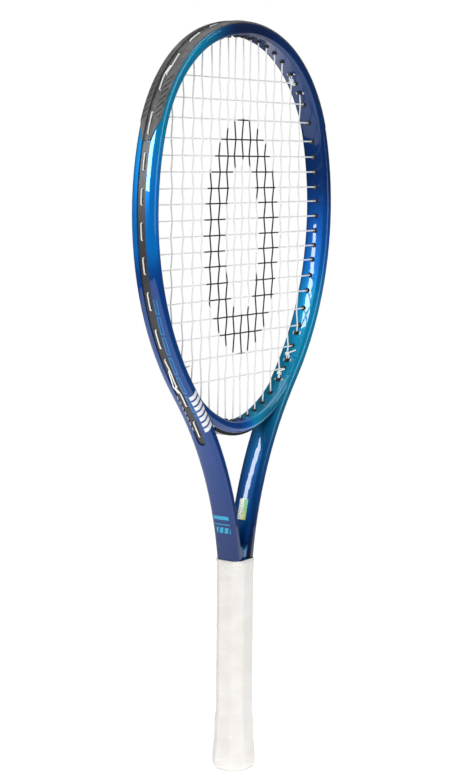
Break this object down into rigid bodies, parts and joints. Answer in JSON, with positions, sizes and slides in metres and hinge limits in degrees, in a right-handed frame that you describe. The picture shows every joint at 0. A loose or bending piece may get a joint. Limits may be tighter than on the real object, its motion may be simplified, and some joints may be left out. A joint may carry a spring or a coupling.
{
  "type": "tennis racket",
  "caption": "Strung tennis racket with a large oval head, open throat, full bumper guard and an eight-sided wrapped handle with a flared butt.",
  "frame": {"origin": "middle of the butt's end face, at the lowest point of the handle", "axes": "+Z from the butt along the handle to the crown of the head; X across the head in the string plane; +Y from the front face to the back"},
  "size_m": [0.289, 0.0376, 0.6858],
  "materials": {
    "frame": "gloss metallic lacquer over carbon composite",
    "bumper": "satin moulded nylon",
    "grommet": "satin moulded nylon",
    "string": "smooth synthetic gut",
    "foam": "moulded foam",
    "cap": "moulded plastic",
    "staple": "bright wire",
    "wrap": "matte cushioned synthetic leather",
    "tape": "satin vinyl tape",
    "foil": "diffracting foil"
  },
  "bodies": {
    "racket": {"frame": "frame", "throat_bridge": "frame", "bumper_guard": "bumper", "grommet_strip_left": "grommet", "grommet_strip_right": "grommet", "throat_grommet_strip": "grommet", "main_string": "string", "cross_string": "string", "handle_pallet": "foam", "butt_cap": "cap", "butt_cap_staples": "staple", "grip_wrap": "wrap", "finishing_tape": "tape", "foil_label": "foil"},
    "door": {"butt_door": "cap"}
  },
  "joints": [
    {"name": "door_pull", "type": "slide", "parent": "racket", "child": "door", "axis": [0, 0, -1], "range_m": [0, 0.025]}
  ]
}
